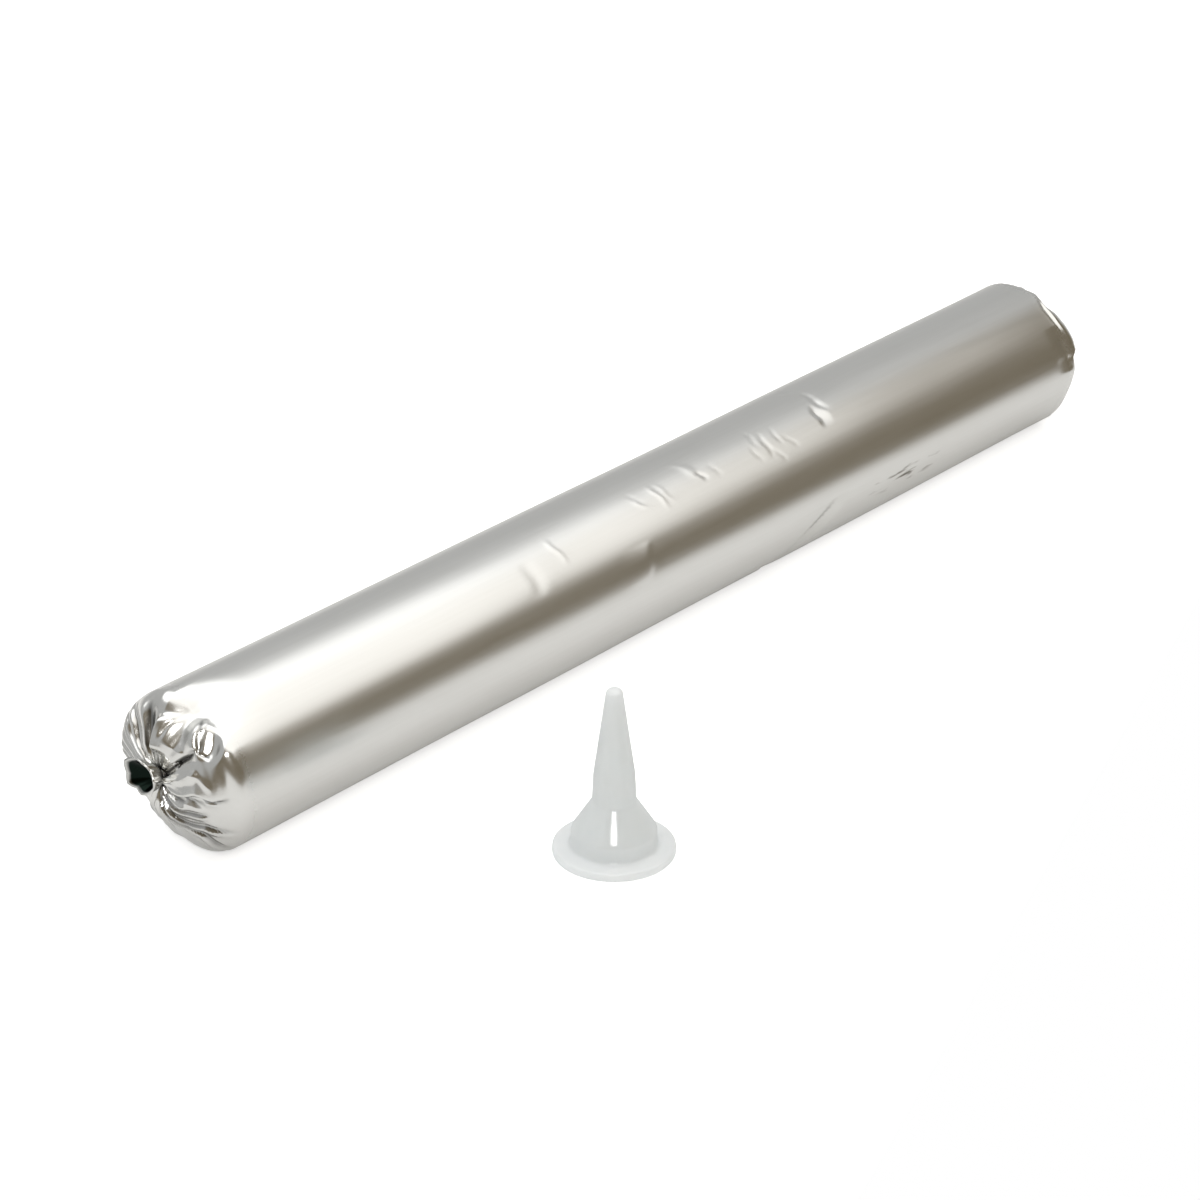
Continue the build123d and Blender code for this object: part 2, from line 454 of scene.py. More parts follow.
FRONT_END = EndShape(
    end=PackEnd.FRONT,
    fullness=(
        (-180, 0.63), (-150, 0.72), (-120, 0.80), (-90, 0.25), (-60, 0.42), (-30, 0.56),
        (0, 0.80), (30, 0.92), (50, 1.0), (60, 0.86), (90, 0.68), (120, 0.61), (150, 0.60),
    ),
    setback=(
        (-180, -0.6), (-168, 0.0), (-150, 1.0), (-120, 2.4), (-90, 4.2), (-60, 2.9), (-30, 1.7),
        (0, 0.8), (30, 0.5), (60, 1.2), (90, 0.9), (120, 0.8), (138, 0.4), (152, -0.6),
    ),
    domed=(
        (-180, 0), (78, 0), (85, 0.12), (93, 0.45), (102, 0.85), (108, 1), (116, 1), (125, 0.8), (133, 0.5),
        (140, 0.2), (146, 0.05), (150, 0),
    ),
    crumpled=(
        (-180, 0.5), (-150, 0.6), (-110, 1), (-20, 1), (-4, 0.3), (80, 0.2), (100, 0.2), (140, 0.1), (156, 0.35),
    ),
    # After a fold's depth and width comes the painted shade in its slot
    folds=(
        # Deep crease from the gather to the puffed spot, with its two sloping sides
        Fold(VALLEY, ((0.11, 152), (0.26, 144), (0.44, 141), (0.56, 141), (0.69, 140)), 1.5, 1.0, 1.0),
        Fold(VALLEY, ((0.11, 152), (0.26, 144), (0.44, 141), (0.66, 140)), 0.8, 4.6),
        # Shadow of the last pleat of the fan
        Fold(VALLEY, ((0.42, 66.5), (0.60, 67), (0.74, 67.5), (0.92, 68)), 0.0, 3.4, 0.75),
        # Facet that falls away from the fan towards the deep crease, and its kink
        Fold(LAP_UP, ((0.42, 84), (0.58, 84), (0.77, 86)), 2.2, 9.0),
        Fold(VALLEY, ((0.60, 96), (0.67, 98), (0.73, 101), (0.77, 103)), 0.35, 0.9),
        # Facets under the deep crease
        Fold(RIDGE, ((0.22, 172), (0.45, 161), (0.62, 158)), 0.6, 2.6),
        Fold(RIDGE, ((0.60, 160), (0.66, 168), (0.74, 174)), 0.35, 1.6),
        # Ledge with a pocket under it, out to a corner at the rim
        Fold(
            LAP_DOWN,
            (
                (0.11, -178), (0.17, -175), (0.29, -166), (0.42, -172), (0.56, -178), (0.65, -176), (0.74, -175),
                (0.90, -180),
            ),
            2.4, 10.0, 0.9,
        ),
        Fold(VALLEY, ((0.30, -158), (0.42, -163), (0.52, -164), (0.64, -167)), 1.0, 2.0, 0.5),
        Fold(RIDGE, ((0.60, -166), (0.74, -171), (0.88, -178)), 0.5, 1.2),
        # Long curved folds low on the -Y side
        Fold(LAP_UP, ((0.20, -122), (0.42, -137), (0.53, -146), (0.64, -152), (0.71, -155)), 1.0, 2.0, 0.7),
        Fold(
            LAP_UP,
            ((0.22, -112), (0.35, -118), (0.45, -120), (0.51, -125), (0.70, -142), (0.88, -148), (0.98, -150)),
            1.15, 2.4, 0.85,
        ),
        Fold(
            LAP_UP,
            ((0.25, -100), (0.40, -108), (0.56, -124), (0.74, -133), (0.94, -131), (1.02, -131)),
            1.15, 2.6, 0.85,
        ),
        Fold(VALLEY, ((0.18, -140), (0.30, -148), (0.42, -156)), 0.9, 1.2, 0.7),
        Fold(RIDGE, ((0.18, -131), (0.32, -136), (0.46, -147)), 0.8, 1.0),
    ),
    fans=(
        PleatFan(
            middle=60.0,
            rim_share=0.9,
            teeth=(
                (-14, 0.0), (-9, 0.6), (-6, -0.4), (-1, 0.7), (3, -0.5), (8, 0.6), (11, 0.3), (15, -0.6), (19, 0.6),
                (22, -0.2), (26, 0.7), (29, -0.6), (33, 0.4), (36, 0.0), (39, 0.9), (43, -0.8), (47, 0.1), (50, -0.3),
                (55, 0.5), (61, 1.0), (63, 1.0), (71, -0.5), (74, -0.5), (82, 0.0), (92, 0.0),
            ),
        ),
    ),
    pleated=(-104.0, -6.0),
    seed=11,
    blisters=(
        Blister(
            angle=136.0,
            reach=0.77,
            half=(4.4, 5.2),
            lean=17.0,
            across=(0.660, -0.751, 0.0),
            up=(0.341, 0.300, 0.891),
            facing=(-0.584, -0.585, 0.562),
            stand=0.1,
            crown=0.12,
            # After a slit's depth and width comes the painted shade in it
            slits=(
                Fold(VALLEY, ((0.785, 116), (0.76, 122), (0.73, 131), (0.71, 139), (0.69, 143)), 0.45, 0.8, 0.7, True),
                Fold(VALLEY, ((0.81, 123), (0.79, 127), (0.745, 137), (0.72, 143)), 0.3, 0.8, 0.4, True),
                Fold(RIDGE, ((0.82, 114), (0.775, 124), (0.737, 134), (0.705, 143)), 0.15, 0.6, 0.0, True),
                Fold(VALLEY, ((0.65, 137), (0.67, 141), (0.73, 145), (0.80, 149)), 0.35, 0.7, 0.5),
            ),
        ),
    ),
)

REAR_END = EndShape(
    end=PackEnd.REAR,
    fullness=(
        (-180, 0.40), (-150, 0.35), (-120, 0.30), (-90, 0.37), (-60, 0.45), (-30, 0.50), (0, 0.55), (30, 0.63),
        (60, 0.60), (90, 0.30), (118, 0.10), (126, 0.20), (136, 0.80), (148, 1.0), (163, 1.0), (169, 0.60),
        (174, 0.40),
    ),
    setback=(
        (-176, 4.8), (-158, 6.5), (-150, 6.3), (-120, 4.2), (-90, 2.8), (-60, 2.0), (-30, 1.7), (0, 1.8), (30, 2.4),
        (60, 3.5), (85, 5.3), (102, 5.8), (112, 5.0), (127, 6.9), (144, 6.8), (164, 5.1), (170, 3.9), (174, 5.4),
    ),
    domed=((0, 0), (180, 0)),
    crumpled=((0, 1), (180, 1)),
    # After a fold's depth and width comes the painted shade in its slot
    folds=(
        Fold(LAP_UP, ((0.20, 100), (0.50, 96), (0.80, 92), (1.0, 96)), 1.4, 3.6, 0.6),
        Fold(VALLEY, ((0.20, 120), (0.50, 122), (0.86, 118)), 1.3, 2.6, 0.5),
        Fold(LAP_DOWN, ((0.20, 150), (0.55, 146), (0.80, 148)), 1.0, 3.2, 0.6),
        Fold(VALLEY, ((0.20, 172), (0.50, 170), (0.86, 174)), 1.2, 2.6, 0.5),
        Fold(LAP_UP, ((0.20, -162), (0.60, -160), (0.95, -166)), 1.2, 3.0, 0.6),
        Fold(VALLEY, ((0.20, -138), (0.50, -134), (0.90, -140)), 1.2, 2.4, 0.5),
        Fold(LAP_DOWN, ((0.20, -112), (0.60, -116), (0.95, -110)), 1.0, 2.6, 0.6),
        Fold(LAP_UP, ((0.20, 30), (0.55, 34), (0.90, 28)), 1.2, 2.8, 0.6),
    ),
    fans=(
        PleatFan(
            middle=66.0,
            rim_share=0.5,
            teeth=(
                (44, 0.0), (48, 1.1), (52, -0.6), (57, 1.0), (60, 0.2), (64, 1.4), (68, -0.7), (73, 1.1), (77, 0.3),
                (81, 1.3), (85, -0.6), (90, 0.0),
            ),
        ),
        PleatFan(
            middle=-70.0,
            rim_share=0.6,
            teeth=(
                (-96, 0.0), (-90, 1.1), (-86, -0.6), (-80, 1.0), (-74, 0.1), (-68, 1.4), (-63, -0.7), (-56, 1.0),
                (-48, 0.0),
            ),
        ),
    ),
    pleated=(-40.0, 24.0),
    seed=23,
)

SLEEVE_CREASES: tuple[Crease, ...] = (
    # Small buckles along the -Y side, most of them on its upper part
    Crease((-54.7, 71), (-53.5, 46), 0.13, 1.5, 1.1),
    Crease((-66.4, 63), (-67.5, 34), -0.20, 3.2, 3.6),
    Crease((-19.1, 70), (-16.3, 56), 0.10, 1.4, 1.2),
    Crease((-18.8, 75), (-16.8, 60), -0.06, 1.2, 1.4),
    Crease((-10.1, 74), (-9.1, 49), 0.12, 1.3, 1.0),
    Crease((-7.5, 73), (-6.2, 52), 0.07, 1.2, 1.0),
    Crease((4.3, 84), (9.0, 58), 0.11, 2.2, 2.6),
    Crease((8.4, 66), (9.9, 56), -0.22, 1.0, 1.6),
    Crease((-23.6, 36), (-27.4, 8), 0.25, 10.0, 2.2),
    Crease((39.1, 73), (37.4, 48), -0.14, 1.0, 1.5),
    Crease((35.7, 81), (35.1, 60), -0.07, 1.0, 1.5),
    Crease((44.5, 73), (43.3, 54), -0.07, 1.0, 1.4),
    Crease((45.8, 62), (48.9, 47), -0.06, 1.0, 1.5),
    Crease((32.2, 65), (32.7, 49), -0.06, 1.0, 1.4),
    Crease((39.4, 56), (41.5, 41), -0.06, 1.0, 1.4),
    Crease((14.7, 68), (15.4, 53), -0.05, 1.1, 1.5),
    # Sharp dent, up over the top
    Crease((64.2, 74), (63.0, 52), -0.46, 1.1, 4.2),
    Crease((67.7, 93), (68.0, 63), -0.34, 1.5, 2.2),
    Crease((64.2, 105), (68.3, 90), -0.22, 2.4, 2.4),
    # Long slanting buckle low on the -Y side, across the seam, then the crumpled rim of the rear end
    # The buckle's last number is painted shade on its front flank
    Crease((58.7, -2), (24.7, -70), -1.1, 3.2, 9.0, 0.6),
    Crease((181.0, 42), (181.5, 3), -1.3, 8.0, 3.0),
    Crease((184.2, 74), (184.3, 10), -0.9, 1.8, 0.8),
)


@dataclass
class FoilPack:
    """The filled foil sleeve with its gathered ends and tails. Sizes are in millimetres."""

    finish: FoilLaminate = field(default_factory=FoilLaminate)
    ends: tuple[EndShape, ...] = (FRONT_END, REAR_END)
    creases: tuple[Crease, ...] = SLEEVE_CREASES
    radius: float = 23.0
    half_length: float = 184.5
    axis_height: float = 21.909
    shoulder: float = 6.0
    end_slope: float = 15.0
    gather: Pair = (1.7, 2.1)
    lip_radius: float = 8.6
    lip_out: float = 8.15
    clip_top: float = 7.72
    # Ring by ring, radius and place out from the rim: over the clip, under its edge, round it and to the neck
    lip: Pairs = (
        (8.0, 8.2), (7.3, 8.25), (6.6, 8.25), (5.9, 8.2), (5.2, 8.15), (4.5, 8.1), (3.9, 8.05), (3.3, 8.0), (2.8, 7.95),
        (2.5, 7.85), (2.6, 7.7), (3.4, 7.66), (4.3, 7.66), (4.5, 7.2), (4.5, 6.2), (4.4, 5.6), (3.4, 5.45), (2.5, 5.4),
    )
    lip_rings_on_top: int = 10
    # Soft slope of a domed part: how far the sleeve is drawn in, by distance behind its rim, then the end by
    # radius, with its place out from the rim and how far its normal leans out in degrees
    bevel: Pairs = (
        (0.0, 5.2), (1.5, 4.2), (3.0, 3.3), (5.0, 2.25), (7.0, 1.42), (9.0, 0.82), (11.0, 0.42), (13.0, 0.18),
        (15.0, 0.06), (18.0, 0.0),
    )
    dome: tuple[Triple, ...] = (
        (8.6, 8.15, 74), (10.9, 7.55, 72), (11.2, 7.47, 46), (12.4, 6.25, 43), (13.8, 4.67, 40), (15.2, 2.91, 37),
        (16.6, 0.95, 34), (17.8, -0.9, 32),
    )
    neck_radius: float = 2.15
    neck_from: float = 5.55
    neck_to: float = 8.0
    tail_out: float = 12.7
    tail_shift: Pair = (2.2, 0.6)
    tail_foil: float = 0.55
    # Corners of the tail's open mouth: angle round it in degrees, radius, and how far its edge is torn out
    tail_corners: tuple[Triple, ...] = (
        (-180, 5.4, 0.2), (-151, 5.1, -0.4), (-95, 5.2, 0.3), (-66, 4.7, -0.3), (-38, 5.9, 0.4), (-8, 5.2, 0.0),
        (33, 6.1, 0.5), (64, 5.3, -0.2), (100, 4.8, 0.2), (140, 4.3, -0.5), (174, 5.4, 0.2), (180, 5.4, 0.2),
    )
    tail_ripple: float = 0.22
    ripple_angle: float = 23.0
    mouth_depth: float = 4.2
    seam_angle: float = 228.0
    seam_arc: float = 18.0
    seam_step: float = 0.2
    seam_edge: float = 1.2
    # The seam wanders in slow waves: height in degrees, and length of pack to a radian
    seam_waves: Pairs = ((0.7, 37.0), (0.4, 11.0))
    # How far from a rim the setback and the lumps die out, and the sleeve is worn bright
    setback_run: float = 22.0
    lump_run: float = 4.0
    worn_run: float = 5.0
    worn: float = 0.5
    # How far an end's folds run out on to the sleeve, as a share of the reach
    fold_run: float = 0.2
    # Powers by which the foil sags from the rim to the gather, and the setback dies out towards it
    sag: float = 0.85
    setback_fall: float = 1.2
    # Ranges of the plain pleats: spacing and half width in degrees, skew, bend in degrees, depth, the reach at
    # which they end and that over which they fade, then how much deeper and longer the long ones are
    pleat_spacing: Pair = (8, 17)
    pleat_half: Pair = (3.0, 5.5)
    pleat_skew: Pair = (-0.6, 0.6)
    pleat_bend: Pair = (-14, 14)
    pleat_depth: Pair = (0.35, 0.9)
    pleat_stop: Pair = (0.38, 0.62)
    pleat_fade: float = 0.3
    long_depth: float = 1.7
    long_stop: float = 0.42
    # Creases between the flat facets: their number, how far off the axis, how sharp, how far from a crease its
    # lift is 0, and the most that they lift together
    facet_creases: int = 14
    facet_offset: Pair = (-17, 17)
    facet_bend: float = 0.05
    facet_middle: float = 9.0
    facet_limit: float = 1.1
    # The mesh: rings of the shoulder and of the slope within it, rings along the sleeve, and columns
    shoulder_rings: int = 14
    slope_rings: int = 28
    ring_step: float = 6.0
    ring_margin: float = 5.0
    least_gap: float = 0.5
    least_rim_gap: float = 0.3
    crease_margin: float = 0.6
    least_crease_step: float = 0.7
    crease_step_share: float = 0.4
    rim_rings: tuple[float, ...] = (0.7, 1.5, 2.5, 3.6, 6.5, 8.0, 9.5, 12.5, 14.0, 15.5, 19.0, 21.5)
    columns: int = 268
    # Share of columns by angle round the pack, closest at the fan of pleats
    crowding: Pairs = (
        (0, 3.0), (92, 3.0), (100, 1.7), (262, 1.7), (275, 0.9), (345, 0.9), (352, 3.0), (360, 3.0),
    )

    def rows(self) -> list[dict[str, float]]:
        """Lists the rings of the mesh, from the front tail's mouth to the rear one's.

        Returns:
            One table for each ring: its zone and end, its radius, its place out from the rim, how far its
            surface faces out along the pack and out from the axis, its share of the tail's length, whether
            it lies over (1) or under (2) the edge of the clip's cover, and its x on the sleeve.
        """
        blank = dict.fromkeys(("zone", "end", "r", "out", "n_out", "t", "lip", "x"), 0.0) | {"n_r": 1.0}
        slope = math.radians(self.end_slope)
        end: list[dict[str, float]] = []
        for turn in np.radians(np.linspace(90, self.end_slope, self.shoulder_rings)):
            r, out = self.radius - self.shoulder * (1 - math.sin(turn)), self.shoulder * math.cos(turn)
            end.append(dict(blank, zone=Zone.END, r=r, out=out, n_out=math.cos(turn), n_r=math.sin(turn)))
        for inner in np.linspace(r, self.lip_radius, self.slope_rings + 1)[1:]:
            place = min(out + (r - inner) * math.tan(slope), self.lip_out)
            end.append(dict(blank, zone=Zone.END, r=inner, out=place, n_out=math.cos(slope), n_r=math.sin(slope)))
        for i, (r, out) in enumerate(self.lip):
            side = 1 if i < self.lip_rings_on_top else 2
            end.append(dict(blank, zone=Zone.END, r=r, out=out, n_out=1.0, n_r=0.0, lip=side))
        for place in np.linspace(self.neck_from, self.neck_to, 4):
            end.append(dict(blank, zone=Zone.NECK, r=self.neck_radius, out=place))
        end += [dict(blank, zone=Zone.TAIL, t=i / 10) for i in range(1, 11)]
        end += [dict(blank, zone=Zone.MOUTH, t=t) for t in (0.97, 0.85, 0.6, 0.3, 0.1, 0.0)]
        front = [dict(row, end=PackEnd.FRONT.value) for row in reversed(end)]
        body = [dict(blank, zone=Zone.SLEEVE, r=self.radius, x=x) for x in self.body_rings()]
        rear = [dict(row, end=PackEnd.REAR.value) for row in end]
        return front + body + rear

    def body_rings(self) -> list[float]:
        """Places of the sleeve's rings: close together at the creases and near the rims."""
        first = self.half_length - self.ring_margin
        places = set(np.round(np.arange(-first, first + 0.1, self.ring_step), 2))
        for d in self.rim_rings:
            places |= {round(-self.half_length + d, 2), round(self.half_length - d, 2)}
        for crease in self.creases:
            low = min(crease.start[0], crease.end[0]) - crease.front_flank - self.crease_margin
            high = max(crease.start[0], crease.end[0]) + crease.rear_flank + self.crease_margin
            step = max(self.least_crease_step, self.crease_step_share * min(crease.front_flank, crease.rear_flank))
            places |= set(np.round(np.arange(low, high, step), 2))
        kept: list[float] = []
        for x in sorted(places):
            if abs(x) < self.half_length - self.least_rim_gap and (not kept or x - kept[-1] > self.least_gap):
                kept.append(float(x))
        return kept

    def column_angles(self) -> np.ndarray:
        """Angles of the mesh's columns in degrees from +Y towards +Z, the last one back at the first."""
        fine = np.linspace(0, 360, 3601)
        share = np.interp(fine, *zip(*self.crowding))
        total = np.concatenate([[0.0], np.cumsum((share[1:] + share[:-1]) / 2)])
        return np.interp(np.linspace(0, total[-1], self.columns + 1), total, fine)

    def grid(self) -> SkinGrid:
        """Spreads the rings and columns out into the skin's fields."""
        rows = self.rows()
        ring = {k: np.array([row[k] for row in rows])[:, None].repeat(self.columns + 1, 1) for k in rows[0]}
        turn = np.radians(self.column_angles())[None, :].repeat(len(rows), 0)
        gy, gz = self.gather
        ray = np.stack([self.radius * np.cos(turn) - gy, self.radius * np.sin(turn) - gz], -1)
        span = np.linalg.norm(ray, axis=-1)
        ray = ray / span[..., None]
        return SkinGrid(ring, turn, ray, span, np.degrees(np.arctan2(ray[..., 1], ray[..., 0])))

    def fold_lift(
        self, folds: tuple[Fold, ...], reach: np.ndarray, angle: np.ndarray, far: np.ndarray
    ) -> tuple[np.ndarray, np.ndarray]:
        """Adds up how far the folds of one end lift the foil.

        Args:
            folds: The end's folds.
            reach: Each point's reach, 0 at the gather and 1 at the rim.
            angle: Each point's angle round the gather, in degrees.
            far: Each point's distance from the gather, in millimetres.

        Returns:
            The lift of each point along the surface's normal, in millimetres, and how much painted shade it gets from
            lying deep in a slot.
        """
        lift, painted_slot_shade = np.zeros_like(reach), np.zeros_like(reach)
        for fold in folds:
            reaches, angles = (np.array(column, float) for column in zip(*fold.path))
            # Near the gather there is no room for a fold's whole width
            width = np.minimum(fold.width, (0.16 if fold.width < 5 else 0.6) * far + 0.35)
            if fold.across:
                d = (reach - np.interp(angle, angles, reaches)) * self.radius
                fade = np.clip((angles[-1] - angle) / 5.0, 0, 1) * np.clip((angle - angles[0]) / 5.0, 0, 1)
            else:
                d = np.radians(wrap(angle - np.interp(reach, reaches, angles))) * far
                start, stop = reaches[0], reaches[-1]
                fade = np.clip((stop - reach) / (0.25 * (stop - start)), 0, 1)
                fade = fade * np.clip((reach - start + 0.10) / 0.10, 0, 1)
            fade = fade * (2 - fade)
            if fold.kind in (VALLEY, RIDGE):
                shape = np.clip(1 - np.abs(d) / width, 0, 1)
                shape = -shape if fold.kind is VALLEY else shape
                dark = np.clip(1 - np.abs(d) / np.minimum(0.5 * width + 0.15, 0.75), 0, 1)
            else:
                # A lap slopes up over its width, drops steeply, and the foil under its edge is pressed in
                ahead = d if fold.kind is LAP_UP else -d
                steep = np.minimum(0.14 * width + 0.1, 0.5)
                shape = np.where(ahead >= 0, np.clip(1 - ahead / width, 0, 1), np.clip(1 + ahead / steep, 0, 1))
                shape = shape - 0.45 * np.clip(1 - np.abs(ahead + steep * 1.6) / (steep * 1.6), 0, 1)
                dark = np.clip(1 - np.abs(ahead + steep * 1.3) / (steep * 1.2), 0, 1)
            lift += fold.depth * fade * shape
            # Painted shade along the fold's slot, and under a lap's edge
            painted_slot_shade = np.maximum(painted_slot_shade, fold.gap * fade * np.clip(1.5 * dark, 0, 1))
        return lift, painted_slot_shade

    def fan_lift(
        self, fans: tuple[PleatFan, ...], reach: np.ndarray, angle: np.ndarray
    ) -> tuple[np.ndarray, np.ndarray]:
        """Adds up the fans of narrow pleats of one end.

        Args:
            fans: The end's fans.
            reach: Each point's reach.
            angle: Each point's angle round the gather, in degrees.

        Returns:
            Lift of each point in millimetres, and how much painted shade it gets from lying deep in a slot between
            teeth.
        """
        lift, painted_slot_shade = np.zeros_like(reach), np.zeros_like(reach)
        for fan in fans:
            share = 1 - (1 - fan.rim_share) * ramp(reach, 0.5, 1.0)
            side = wrap(angle - fan.middle)
            wobble = 1.6 * np.sin(9.0 * reach + 0.12 * side) * ramp(reach, 0.25, 0.6)
            height = np.interp(fan.middle + side / share + wobble, *zip(*fan.teeth), left=0.0, right=0.0)
            start, stop = fan.reach
            fade = ramp(reach, start, start + 0.16) * (1 - ramp(reach, stop - 0.30, stop))
            lift += height * fade * np.clip(reach / 0.62, 0.6, 1.3)
            # Painted shade in the slots between the teeth
            deep = np.clip((-height - 0.15) * 2.0, 0, 0.9)
            painted_slot_shade = np.maximum(painted_slot_shade, deep * fade * (1 - ramp(reach, 0.7, 0.95)))
        return lift, painted_slot_shade

    def plain_pleats(self, shape: EndShape, reach: np.ndarray, angle: np.ndarray) -> np.ndarray:
        """Uneven pleats: short ones all round the gather, and longer ones where the end is plainly pleated.

        Args:
            shape: The end.
            reach: Each point's reach.
            angle: Each point's angle round the gather, in degrees.

        Returns:
            Lift of each point, in millimetres.
        """
        rng = np.random.default_rng(shape.seed)
        lift = np.zeros_like(reach)
        low, high = shape.pleated
        at = np.cumsum(rng.uniform(*self.pleat_spacing, 32))
        for place in at[at < 356]:
            ranges = (self.pleat_half, self.pleat_skew, self.pleat_bend, self.pleat_depth, self.pleat_stop)
            half, skew, bend, depth, stop = (rng.uniform(*limits) for limits in ranges)
            if low < wrap(place) < high:
                depth, stop = depth * self.long_depth, stop + self.long_stop
            side = wrap(angle - place - bend * reach)
            tooth = np.where(side < 0, 1 + side / (half * (1 - skew)), 1 - side / (half * (1 + skew)))
            lift += depth * np.clip(tooth, 0, 1) * np.clip((stop - reach) / self.pleat_fade, 0, 1)
        return lift - 0.15

    def crumple(self, seed: int, y: np.ndarray, z: np.ndarray) -> np.ndarray:
        """Flat facets of foil that has been bent and bent back: straight creases across an end.

        Args:
            seed: Picks the pattern.
            y: Each point's place across the pack, in millimetres.
            z: Each point's height, in millimetres.

        Returns:
            Lift of each point, in millimetres.
        """
        rng = np.random.default_rng(seed)
        lift = np.zeros_like(y)
        for _ in range(self.facet_creases):
            turn, offset = rng.uniform(0, math.pi), rng.uniform(*self.facet_offset)
            bend = rng.normal(0, self.facet_bend)
            lift += bend * (np.abs(y * math.cos(turn) + z * math.sin(turn) - offset) - self.facet_middle)
        return np.clip(lift, -self.facet_limit, self.facet_limit)

    def sleeve_lift(
        self, x: np.ndarray, degrees: np.ndarray, near_rim: np.ndarray
    ) -> tuple[np.ndarray, np.ndarray]:
        """Buckles and soft lumps of the filled sleeve.

        Args:
            x: Each point's place along the pack, in millimetres.
            degrees: Each point's angle up from -Y.
            near_rim: How much of the lumps is left at each point, 0 at the rims.

        Returns:
            Lift of each point, in millimetres, and how much painted shade it gets on a crease's front flank.
        """
        lift, painted_slot_shade = np.zeros_like(x), np.zeros_like(x)
        for crease in self.creases:
            (x0, a0), (x1, a1) = crease.start, crease.end
            along = (degrees - a0) / (a1 - a0)
            d = x - (x0 + (x1 - x0) * along + 0.35 * np.sin(9.0 * along + x0))
            shape = np.where(d < 0, 1 + d / crease.front_flank, 1 - d / crease.rear_flank)
            fade = np.where((along > 0) & (along < 1), np.sin(math.pi * np.clip(along, 0, 1)) ** 0.8, 0.0)
            lift += crease.depth * np.clip(shape, 0, 1) * fade
            # Painted shade on the crease's front flank
            painted_slot_shade = np.maximum(painted_slot_shade, crease.gap * fade * ramp(shape, 0.05, 0.5) * (d < 0.4))
        turn = np.radians(degrees)
        lumps = 0.10 * np.sin(x / 13.0 + 2.1 * np.sin(turn + 0.4)) * np.cos(turn - 0.5)
        lumps += 0.12 * np.sin(x / 31.0 + 1.3) * np.sin(2 * turn + x / 70.0) - 0.10
        # A shallow hollow in the middle of the upper side, and a fuller place in front of it
        lumps -= 0.18 * np.exp(-(((x - 5) / 30) ** 2) - ((degrees - 50) / 24) ** 2)
        lumps += 0.14 * np.exp(-(((x + 75) / 26) ** 2) - ((degrees - 55) / 24) ** 2)
        return lift + lumps * near_rim, painted_slot_shade

    def sleeve_points(self, grid: SkinGrid) -> tuple[np.ndarray, np.ndarray, np.ndarray]:
        """Works out the filled sleeve, with its seam, its buckles and its drawn-in rims.

        Args:
            grid: The skin's fields.

        Returns:
            Points about the pack's axis, how hard each one is folded, and how much painted shade it gets from lying
            deep in a slot.
        """
        x, angle = grid.ring["x"], grid.angle
        around = np.degrees(grid.turn)
        to_rim = self.half_length - np.abs(x)
        lift, painted_slot_shade = self.sleeve_lift(x, wrap(180 - around), np.clip(to_rim / self.lump_run, 0, 1))
        seam = np.full_like(x, self.seam_angle)
        for high, long in self.seam_waves:
            seam += high * np.sin(x / long)
        lap = np.clip((around - seam) / self.seam_edge, 0, 1)
        lap = lap * np.clip((seam + self.seam_arc - around) / self.seam_edge, 0, 1)
        lift = lift + lap * self.seam_step
        shift = np.zeros_like(x)
        for shape in self.ends:
            sign = shape.end.value
            behind = self.half_length - sign * x
            gone = 1 + behind / self.radius
            # The end's folds run out a little way along the sleeve
            left = np.clip((1 + self.fold_run - gone) / self.fold_run, 0, 1)
            folds, dark = self.fold_lift(shape.folds, gone, angle, grid.span * gone)
            fanned, _ = self.fan_lift(shape.fans, gone, angle)
            lift += (folds + fanned) * left
            painted_slot_shade = np.maximum(painted_slot_shade, np.where(left > 0, dark, 0.0))
            lift -= np.interp(behind, *zip(*self.bevel)) * round_end(angle, shape.domed)
            shift -= sign * round_end(angle, shape.setback) * np.clip(1 - behind / self.setback_run, 0, 1)
        wide = self.radius + lift
        pts = np.stack([x + shift, wide * np.cos(grid.turn), wide * np.sin(grid.turn)], -1)
        smooth = np.where(x < 0, round_end(angle, self.ends[0].domed), 0.0)
        return pts, self.worn * np.clip(1 - to_rim / self.worn_run, 0, 1) * (1 - smooth), painted_slot_shade

    def end_points(self, grid: SkinGrid, shape: EndShape) -> tuple[np.ndarray, np.ndarray, np.ndarray]:
        """Works out one gathered end, from its rim to the clip.

        Args:
            grid: The skin's fields.
            shape: The end.

        Returns:
            Points about the pack's axis, how hard each one is folded, and how much painted shade it gets from lying
            deep in a slot.
        """
        ring, ray, angle = grid.ring, grid.ray, grid.angle
        r, out, lip = ring["r"], ring["out"], ring["lip"]
        radii, places, leans = (np.array(column) for column in zip(*self.dome))
        inner = (r - self.lip_radius) / (self.radius - self.lip_radius)
        drawn = self.lip_radius + inner * (radii[-1] - self.lip_radius)
        inner = np.clip(inner, 0, 1)
        domed = round_end(angle, shape.domed) * (lip == 0)
        reach = (r + domed * (drawn - r)) / self.radius
        far = reach * grid.span
        y, z = self.gather[0] + far * ray[..., 0], self.gather[1] + far * ray[..., 1]

        # The plain surface and the way it faces
        full, back = round_end(angle, shape.fullness), round_end(angle, shape.setback)
        straight = self.lip_out * (1 - inner) ** self.sag
        base = np.where(lip > 0, out, full * out + (1 - full) * straight - back * inner**self.setback_fall)
        base = base + domed * (np.interp(drawn, radii, places) - base)
        lean = np.radians(np.interp(drawn, radii, leans))
        n_out = ring["n_out"] + domed * (np.sin(lean) - ring["n_out"])
        n_r = ring["n_r"] + domed * (np.cos(lean) - ring["n_r"])

